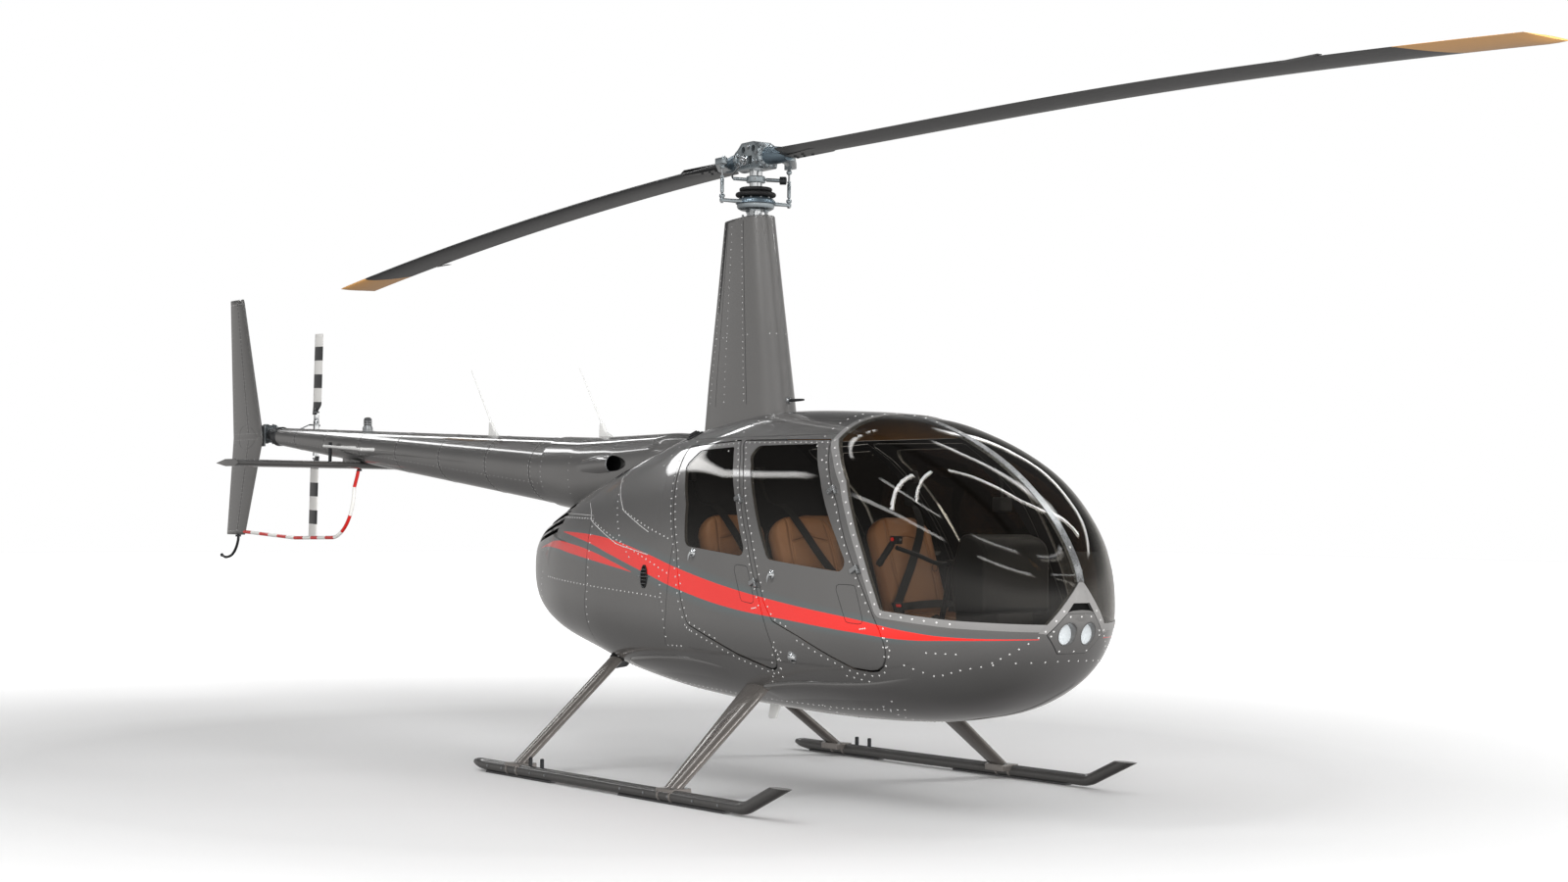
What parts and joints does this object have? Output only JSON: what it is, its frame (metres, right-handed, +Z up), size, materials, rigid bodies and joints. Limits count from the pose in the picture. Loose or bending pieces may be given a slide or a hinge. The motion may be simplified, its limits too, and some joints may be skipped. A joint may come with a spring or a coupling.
{
  "type": "light helicopter",
  "caption": "Light piston helicopter with a main rotor on a tall streamlined mast, a glazed cabin with side doors, skid landing gear, and a slim tail cone with fins and a tail rotor.",
  "frame": {"origin": "centre of the bounding box at the bottom of the skid shoes", "axes": "+Z up, -Y towards the nose, +X towards the port side"},
  "size_m": [2.18, 11.5634, 3.281],
  "materials": {
    "body_grey": "metallic charcoal paint, gloss",
    "roof_dark": "dark metallic paint, gloss",
    "gear_dark": "dark satin paint",
    "blade_grey": "satin grey paint, tips ochre",
    "tail_blade_white": "white and dark bands, satin",
    "guard_red": "red and white bands, satin",
    "floor_alloy": "dark carpet over plate",
    "strip_alloy": "painted strip",
    "steel": "machined, satin",
    "engine_steel": "cast and machined",
    "console_black": "crinkle black",
    "antenna_white": "white, gloss",
    "beacon_red": "translucent red cap",
    "stick_black": "black grips on a dark bar",
    "leather": "brown leather, stitched",
    "glazing": "clear, lightly tinted acrylic",
    "lamp_glass": "clear lens over a bright reflector"
  },
  "bodies": {
    "airframe": {"bar_antenna_left": "antenna_white", "bar_antenna_right": "antenna_white", "beacon": "beacon_red", "belly_antenna": "antenna_white", "cabin_body": "body_grey", "cabin_floor": "floor_alloy", "cabin_roof": "roof_dark", "cyclic_stick": "stick_black", "engine_block": "engine_steel", "engine_cowl": "body_grey", "fin_lower": "body_grey", "fin_upper": "body_grey", "firewall": "steel", "front_leg_left": "gear_dark", "front_leg_right": "gear_dark", "front_seat_left": "leather", "front_seat_right": "leather", "instrument_console": "console_black", "landing_lamp_left": "lamp_glass", "landing_lamp_right": "lamp_glass", "mast_fairing": "body_grey", "pitot_tube": "steel", "rear_leg_left": "gear_dark", "rear_leg_right": "gear_dark", "rear_seat_left": "leather", "rear_seat_right": "leather", "skid_left": "gear_dark", "skid_right": "gear_dark", "stabiliser": "body_grey", "swashplate_fixed": "steel", "tail_cone": "body_grey", "tail_cone_fairing": "body_grey", "tail_gearbox": "steel", "tail_guard": "guard_red", "tail_skid": "gear_dark", "whip_antenna_front": "antenna_white", "whip_antenna_rear": "antenna_white", "windshield_left": "glazing", "windshield_right": "glazing", "windshield_strip": "strip_alloy"},
    "main_rotor": {"rotor_mast": "steel", "rotor_hub": "steel", "swashplate_rotating": "steel", "main_blade_1": "blade_grey", "main_blade_2": "blade_grey"},
    "tail_rotor": {"tail_rotor_hub": "steel", "tail_blade_1": "tail_blade_white", "tail_blade_2": "tail_blade_white"},
    "front_right_door": {"front_door_right": "body_grey", "front_door_right_glass": "glazing"},
    "front_left_door": {"front_door_left": "body_grey", "front_door_left_glass": "glazing"},
    "rear_right_door": {"rear_door_right": "body_grey", "rear_door_right_glass": "glazing"},
    "rear_left_door": {"rear_door_left": "body_grey", "rear_door_left_glass": "glazing"}
  },
  "joints": [
    {"name": "main_rotor_spin", "type": "hinge", "parent": "airframe", "child": "main_rotor", "pos_m": [0, -0.755, 2.943], "axis": [0, 0, 1], "continuous": true},
    {"name": "tail_rotor_spin", "type": "hinge", "parent": "airframe", "child": "tail_rotor", "pos_m": [0.44, 5.178, 1.893], "axis": [-1, 0, 0], "continuous": true},
    {"name": "front_right_door_hinge", "type": "hinge", "parent": "airframe", "child": "front_right_door", "pos_m": [-0.62137, -2.382, 1.103], "axis": [0.0956, 0.5173, 0.8504], "range_deg": [0, 75]},
    {"name": "front_left_door_hinge", "type": "hinge", "parent": "airframe", "child": "front_left_door", "pos_m": [0.62137, -2.382, 1.103], "axis": [0.0956, -0.5173, -0.8504], "range_deg": [0, 75]},
    {"name": "rear_right_door_hinge", "type": "hinge", "parent": "airframe", "child": "rear_right_door", "pos_m": [-0.65558, -1.657, 1.023], "axis": [0.1318, 0.4556, 0.8804], "range_deg": [0, 75]},
    {"name": "rear_left_door_hinge", "type": "hinge", "parent": "airframe", "child": "rear_left_door", "pos_m": [0.65558, -1.657, 1.023], "axis": [0.1318, -0.4556, -0.8804], "range_deg": [0, 75]}
  ],
  "couplings": [
    {"joint": "tail_rotor_spin", "follows": "main_rotor_spin", "ratio": 5.946}
  ]
}
